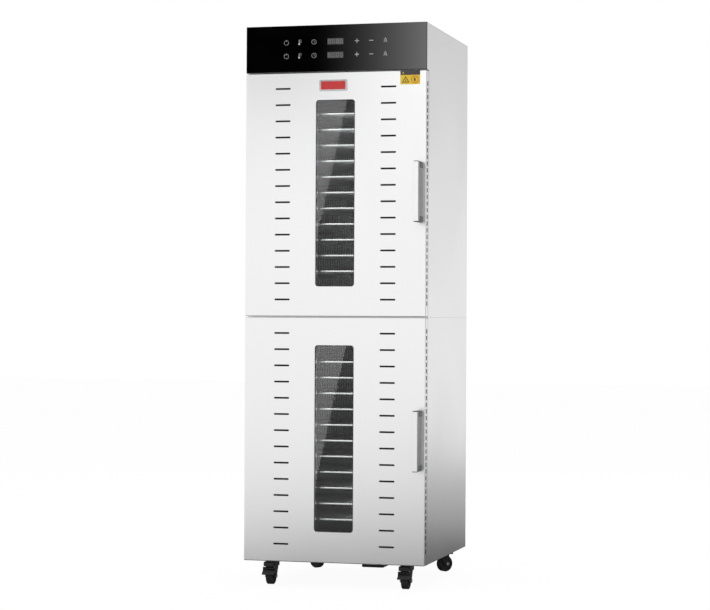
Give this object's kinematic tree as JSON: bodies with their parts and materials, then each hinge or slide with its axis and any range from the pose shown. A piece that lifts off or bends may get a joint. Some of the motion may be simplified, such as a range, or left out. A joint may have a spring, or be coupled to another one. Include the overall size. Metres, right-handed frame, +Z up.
{
  "type": "food dehydrator",
  "caption": "Tall two-zone food dehydrator: steel cabinet on swivel casters, two hinged vented doors with narrow windows, black control fascia and wire trays.",
  "frame": {"origin": "on the floor, at the middle of the bounding box, handles and hinge barrels included", "axes": "+Z up; +Y from the doors to the back; +X to the right as seen from the front, away from the hinges"},
  "size_m": [0.5624, 0.639, 1.675],
  "materials": {
    "stainless_steel": "satin brushed stainless sheet",
    "bright_steel": "bright stainless sheet and woven wire",
    "galvanised_steel": "zinc-plated steel",
    "heater_sheath": "heat-tinted steel sheath",
    "black_glass": "black back-painted glass, glossy",
    "clear_glass": "clear tempered glass",
    "aluminium": "satin aluminium",
    "silicone": "grey silicone",
    "black_plastic": "moulded black plastic",
    "wheel_rubber": "black rubber tread on a plastic wheel",
    "circuit_board": "green solder mask"
  },
  "bodies": {
    "root": {"lower_casing": "stainless_steel", "upper_casing": "stainless_steel", "back_panel": "stainless_steel", "control_fascia": "black_glass", "control_board": "circuit_board", "terminal_box": "black_plastic", "lower_chamber": "bright_steel", "lower_fan_baffle": "bright_steel", "lower_fan_motor": "galvanised_steel", "lower_heater": "heater_sheath", "lower_hinge": "stainless_steel", "upper_chamber": "bright_steel", "upper_fan_baffle": "bright_steel", "upper_fan_motor": "galvanised_steel", "upper_heater": "heater_sheath", "upper_hinge": "stainless_steel"},
    "lower_door": {"lower_door_skin": "stainless_steel", "lower_door_liner": "stainless_steel", "lower_door_glass": "clear_glass", "lower_door_gasket": "silicone", "lower_door_handle": "aluminium"},
    "lower_fan": {"lower_fan": "aluminium"},
    "upper_door": {"upper_door_skin": "stainless_steel", "upper_door_liner": "stainless_steel", "upper_door_glass": "clear_glass", "upper_door_gasket": "silicone", "upper_door_handle": "aluminium"},
    "upper_fan": {"upper_fan": "aluminium"},
    "lower_tray_01": {"lower_tray_01": "bright_steel"},
    "lower_tray_02": {"lower_tray_02": "bright_steel"},
    "lower_tray_03": {"lower_tray_03": "bright_steel"},
    "lower_tray_04": {"lower_tray_04": "bright_steel"},
    "lower_tray_05": {"lower_tray_05": "bright_steel"},
    "lower_tray_06": {"lower_tray_06": "bright_steel"},
    "lower_tray_07": {"lower_tray_07": "bright_steel"},
    "lower_tray_08": {"lower_tray_08": "bright_steel"},
    "lower_tray_09": {"lower_tray_09": "bright_steel"},
    "lower_tray_10": {"lower_tray_10": "bright_steel"},
    "lower_tray_11": {"lower_tray_11": "bright_steel"},
    "upper_tray_01": {"upper_tray_01": "bright_steel"},
    "upper_tray_02": {"upper_tray_02": "bright_steel"},
    "upper_tray_03": {"upper_tray_03": "bright_steel"},
    "upper_tray_04": {"upper_tray_04": "bright_steel"},
    "upper_tray_05": {"upper_tray_05": "bright_steel"},
    "upper_tray_06": {"upper_tray_06": "bright_steel"},
    "upper_tray_07": {"upper_tray_07": "bright_steel"},
    "upper_tray_08": {"upper_tray_08": "bright_steel"},
    "upper_tray_09": {"upper_tray_09": "bright_steel"},
    "upper_tray_10": {"upper_tray_10": "bright_steel"},
    "upper_tray_11": {"upper_tray_11": "bright_steel"},
    "front_left_caster": {"front_left_caster_fork": "black_plastic"},
    "front_left_wheel": {"front_left_caster_wheel": "wheel_rubber"},
    "front_left_pedal": {"front_left_brake_pedal": "black_plastic"},
    "front_right_caster": {"front_right_caster_fork": "black_plastic"},
    "front_right_wheel": {"front_right_caster_wheel": "wheel_rubber"},
    "front_right_pedal": {"front_right_brake_pedal": "black_plastic"},
    "rear_left_caster": {"rear_left_caster_fork": "black_plastic"},
    "rear_left_wheel": {"rear_left_caster_wheel": "wheel_rubber"},
    "rear_right_caster": {"rear_right_caster_fork": "black_plastic"},
    "rear_right_wheel": {"rear_right_caster_wheel": "wheel_rubber"}
  },
  "joints": [
    {"name": "lower_door_hinge", "type": "hinge", "parent": "root", "child": "lower_door", "pos_m": [-0.27815, -0.231, 0.44125], "axis": [0, 0, -1], "range_deg": [0, 180]},
    {"name": "lower_fan_spin", "type": "hinge", "parent": "root", "child": "lower_fan", "pos_m": [0.00315, 0.197, 0.443], "axis": [0, 1, 0], "continuous": true},
    {"name": "upper_door_hinge", "type": "hinge", "parent": "root", "child": "upper_door", "pos_m": [-0.27815, -0.231, 1.17025], "axis": [0, 0, -1], "range_deg": [0, 180]},
    {"name": "upper_fan_spin", "type": "hinge", "parent": "root", "child": "upper_fan", "pos_m": [0.00315, 0.197, 1.174], "axis": [0, 1, 0], "continuous": true},
    {"name": "front_left_swivel", "type": "hinge", "parent": "root", "child": "front_left_caster", "pos_m": [-0.20585, -0.186, 0.06], "axis": [0, 0, 1], "continuous": true},
    {"name": "front_left_roll", "type": "hinge", "parent": "front_left_caster", "child": "front_left_wheel", "pos_m": [-0.20585, -0.204, 0.025], "axis": [1, 0, 0], "continuous": true},
    {"name": "front_left_brake", "type": "hinge", "parent": "front_left_caster", "child": "front_left_pedal", "pos_m": [-0.20585, -0.21426, 0.05319], "axis": [1, 0, 0], "range_deg": [0, 6]},
    {"name": "front_right_swivel", "type": "hinge", "parent": "root", "child": "front_right_caster", "pos_m": [0.21215, -0.186, 0.06], "axis": [0, 0, 1], "continuous": true},
    {"name": "front_right_roll", "type": "hinge", "parent": "front_right_caster", "child": "front_right_wheel", "pos_m": [0.21215, -0.204, 0.025], "axis": [1, 0, 0], "continuous": true},
    {"name": "front_right_brake", "type": "hinge", "parent": "front_right_caster", "child": "front_right_pedal", "pos_m": [0.21215, -0.21426, 0.05319], "axis": [1, 0, 0], "range_deg": [0, 6]},
    {"name": "rear_left_swivel", "type": "hinge", "parent": "root", "child": "rear_left_caster", "pos_m": [-0.20585, 0.2575, 0.06], "axis": [0, 0, 1], "continuous": true},
    {"name": "rear_left_roll", "type": "hinge", "parent": "rear_left_caster", "child": "rear_left_wheel", "pos_m": [-0.19026, 0.2485, 0.025], "axis": [0.5, 0.866, 0], "continuous": true},
    {"name": "rear_right_swivel", "type": "hinge", "parent": "root", "child": "rear_right_caster", "pos_m": [0.21215, 0.2575, 0.06], "axis": [0, 0, 1], "continuous": true},
    {"name": "rear_right_roll", "type": "hinge", "parent": "rear_right_caster", "child": "rear_right_wheel", "pos_m": [0.22372, 0.27129, 0.025], "axis": [-0.766, 0.6428, 0], "continuous": true},
    {"name": "lower_tray_01_slide", "type": "slide", "parent": "root", "child": "lower_tray_01", "axis": [0, -1, 0], "range_m": [0, 0.018]},
    {"name": "lower_tray_02_slide", "type": "slide", "parent": "root", "child": "lower_tray_02", "axis": [0, -1, 0], "range_m": [0, 0.018]},
    {"name": "lower_tray_03_slide", "type": "slide", "parent": "root", "child": "lower_tray_03", "axis": [0, -1, 0], "range_m": [0, 0.018]},
    {"name": "lower_tray_04_slide", "type": "slide", "parent": "root", "child": "lower_tray_04", "axis": [0, -1, 0], "range_m": [0, 0.018]},
    {"name": "lower_tray_05_slide", "type": "slide", "parent": "root", "child": "lower_tray_05", "axis": [0, -1, 0], "range_m": [0, 0.018]},
    {"name": "lower_tray_06_slide", "type": "slide", "parent": "root", "child": "lower_tray_06", "axis": [0, -1, 0], "range_m": [0, 0.018]},
    {"name": "lower_tray_07_slide", "type": "slide", "parent": "root", "child": "lower_tray_07", "axis": [0, -1, 0], "range_m": [0, 0.018]},
    {"name": "lower_tray_08_slide", "type": "slide", "parent": "root", "child": "lower_tray_08", "axis": [0, -1, 0], "range_m": [0, 0.018]},
    {"name": "lower_tray_09_slide", "type": "slide", "parent": "root", "child": "lower_tray_09", "axis": [0, -1, 0], "range_m": [0, 0.018]},
    {"name": "lower_tray_10_slide", "type": "slide", "parent": "root", "child": "lower_tray_10", "axis": [0, -1, 0], "range_m": [0, 0.018]},
    {"name": "lower_tray_11_slide", "type": "slide", "parent": "root", "child": "lower_tray_11", "axis": [0, -1, 0], "range_m": [0, 0.018]},
    {"name": "upper_tray_01_slide", "type": "slide", "parent": "root", "child": "upper_tray_01", "axis": [0, -1, 0], "range_m": [0, 0.018]},
    {"name": "upper_tray_02_slide", "type": "slide", "parent": "root", "child": "upper_tray_02", "axis": [0, -1, 0], "range_m": [0, 0.018]},
    {"name": "upper_tray_03_slide", "type": "slide", "parent": "root", "child": "upper_tray_03", "axis": [0, -1, 0], "range_m": [0, 0.018]},
    {"name": "upper_tray_04_slide", "type": "slide", "parent": "root", "child": "upper_tray_04", "axis": [0, -1, 0], "range_m": [0, 0.018]},
    {"name": "upper_tray_05_slide", "type": "slide", "parent": "root", "child": "upper_tray_05", "axis": [0, -1, 0], "range_m": [0, 0.018]},
    {"name": "upper_tray_06_slide", "type": "slide", "parent": "root", "child": "upper_tray_06", "axis": [0, -1, 0], "range_m": [0, 0.018]},
    {"name": "upper_tray_07_slide", "type": "slide", "parent": "root", "child": "upper_tray_07", "axis": [0, -1, 0], "range_m": [0, 0.018]},
    {"name": "upper_tray_08_slide", "type": "slide", "parent": "root", "child": "upper_tray_08", "axis": [0, -1, 0], "range_m": [0, 0.018]},
    {"name": "upper_tray_09_slide", "type": "slide", "parent": "root", "child": "upper_tray_09", "axis": [0, -1, 0], "range_m": [0, 0.018]},
    {"name": "upper_tray_10_slide", "type": "slide", "parent": "root", "child": "upper_tray_10", "axis": [0, -1, 0], "range_m": [0, 0.018]},
    {"name": "upper_tray_11_slide", "type": "slide", "parent": "root", "child": "upper_tray_11", "axis": [0, -1, 0], "range_m": [0, 0.018]}
  ]
}
